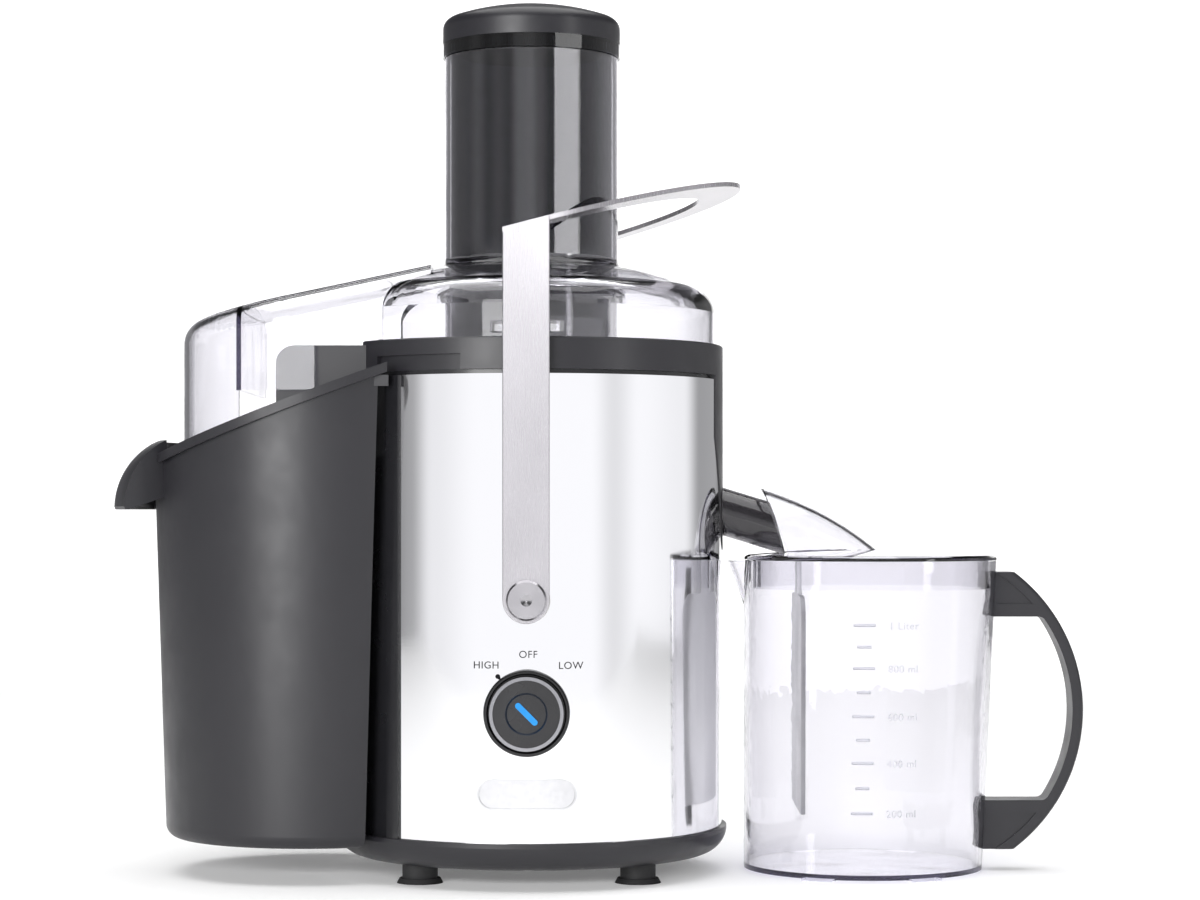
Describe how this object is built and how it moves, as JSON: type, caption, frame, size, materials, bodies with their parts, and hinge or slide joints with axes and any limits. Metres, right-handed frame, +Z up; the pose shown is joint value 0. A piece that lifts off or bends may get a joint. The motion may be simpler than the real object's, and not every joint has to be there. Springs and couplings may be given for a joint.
{
  "type": "centrifugal juicer",
  "caption": "Countertop centrifugal juicer with a steel-wrapped motor base, clear lid with feed chute and pusher, swing-over locking arm, pulp bin and juice jug.",
  "frame": {"origin": "on the counter, under the middle of the whole juicer with its bin and jug", "axes": "+X towards the juice jug, +Y away from the side with the knob, +Z up"},
  "size_m": [0.4588, 0.2012, 0.4106],
  "materials": {
    "dark_plastic": "fine-textured dark grey moulded plastic",
    "black_plastic": "black moulded plastic",
    "clear_plastic": "clear moulded plastic",
    "smoky_plastic": "dark transparent moulded plastic",
    "spout_plastic": "smoky transparent moulded plastic",
    "polished_steel": "polished steel sheet",
    "brushed_steel": "brushed along its length",
    "plated_trim": "plated trim",
    "blue_light": "lit blue lens",
    "rubber_black": "moulded rubber",
    "zinc_steel": "zinc plated steel",
    "lamination_steel": "stacked electrical steel",
    "copper_wire": "enamelled copper wire",
    "copper_bar": "turned copper",
    "cast_alloy": "die cast alloy",
    "carbon": "pressed carbon",
    "brass_part": "stamped brass",
    "white_nylon": "white nylon",
    "board_green": "coated circuit board",
    "mesh_steel": "etched steel mesh"
  },
  "bodies": {
    "base": {"base_tray": "dark_plastic", "suction_feet": "rubber_black", "foot_screws": "zinc_steel", "base_screws": "zinc_steel", "housing_shell": "black_plastic", "steel_wrap": "polished_steel", "wrap_edge_trims": "black_plastic", "nameplate": "plated_trim", "motor_deck": "black_plastic", "deck_seal": "rubber_black", "deck_screws": "zinc_steel", "motor_top_bracket": "cast_alloy", "motor_bottom_bracket": "cast_alloy", "stator_core": "lamination_steel", "field_coils": "copper_wire", "through_bolts": "zinc_steel", "vibration_dampers": "rubber_black", "motor_screws": "zinc_steel", "brush_holders": "brass_part", "carbon_brushes": "carbon", "bearing_outer_rings": "zinc_steel", "rotary_switch": "black_plastic", "knob_bezel": "black_plastic", "control_board": "board_green", "board_components": "black_plastic", "interlock_switch": "black_plastic", "cord_gland": "rubber_black", "arm_pivot_bushings": "white_nylon", "filter_bowl": "dark_plastic", "juice_spout": "spout_plastic"},
    "rotor": {"motor_shaft": "zinc_steel", "armature_core": "lamination_steel", "armature_windings": "copper_wire", "commutator": "copper_bar", "cooling_fan": "black_plastic", "drive_coupling": "black_plastic", "bearing_inner_rings": "zinc_steel", "bearing_balls": "zinc_steel", "basket_frame": "black_plastic", "filter_mesh": "mesh_steel", "cutting_disc": "mesh_steel"},
    "lid": {"lid_cover": "clear_plastic", "feed_chute": "clear_plastic"},
    "pusher": {"pusher_body": "smoky_plastic", "pusher_cap": "dark_plastic"},
    "arm": {"locking_arm": "brushed_steel", "arm_pivot_bolts": "brushed_steel", "arm_washers": "white_nylon", "interlock_cam": "white_nylon"},
    "plunger": {"interlock_plunger": "white_nylon"},
    "knob": {"speed_knob": "black_plastic", "knob_trim_ring": "plated_trim", "knob_light_bar": "blue_light"},
    "bin": {"pulp_bin": "dark_plastic"},
    "jug": {"jug_body": "clear_plastic", "jug_handle": "dark_plastic"},
    "jug_lid": {"jug_lid": "clear_plastic", "froth_separator": "clear_plastic"}
  },
  "joints": [
    {"name": "rotor_spin", "type": "hinge", "parent": "base", "child": "rotor", "pos_m": [-0.032, 0, 0.091], "axis": [0, 0, 1], "continuous": true},
    {"name": "arm_swing", "type": "hinge", "parent": "base", "child": "arm", "pos_m": [-0.032, 0, 0.1308], "axis": [0, 1, 0], "range_deg": [0, 55]},
    {"name": "lid_lift", "type": "slide", "parent": "base", "child": "lid", "axis": [0, 0, 1], "range_m": [0, 0.06]},
    {"name": "interlock_press", "type": "slide", "parent": "base", "child": "plunger", "axis": [1, 0, 0], "range_m": [0, 0.0015]},
    {"name": "pusher_slide", "type": "slide", "parent": "lid", "child": "pusher", "axis": [0, 0, 1], "range_m": [0, 0.18]},
    {"name": "knob_turn", "type": "hinge", "parent": "base", "child": "knob", "pos_m": [-0.032, -0.09, 0.0805], "axis": [0, 1, 0], "range_deg": [0, 90]},
    {"name": "bin_slide", "type": "slide", "parent": "base", "child": "bin", "axis": [-1, 0, 0], "range_m": [0, 0.2]},
    {"name": "jug_slide", "type": "slide", "parent": "base", "child": "jug", "axis": [1, 0, 0], "range_m": [0, 0.15]},
    {"name": "jug_lid_lift", "type": "slide", "parent": "jug", "child": "jug_lid", "axis": [0, 0, 1], "range_m": [0, 0.13]}
  ],
  "couplings": [
    {"joint": "lid_lift", "follows": "arm_swing", "m_per_rad": 0.0625},
    {"joint": "interlock_press", "follows": "arm_swing", "m_per_rad": 0.00156}
  ]
}
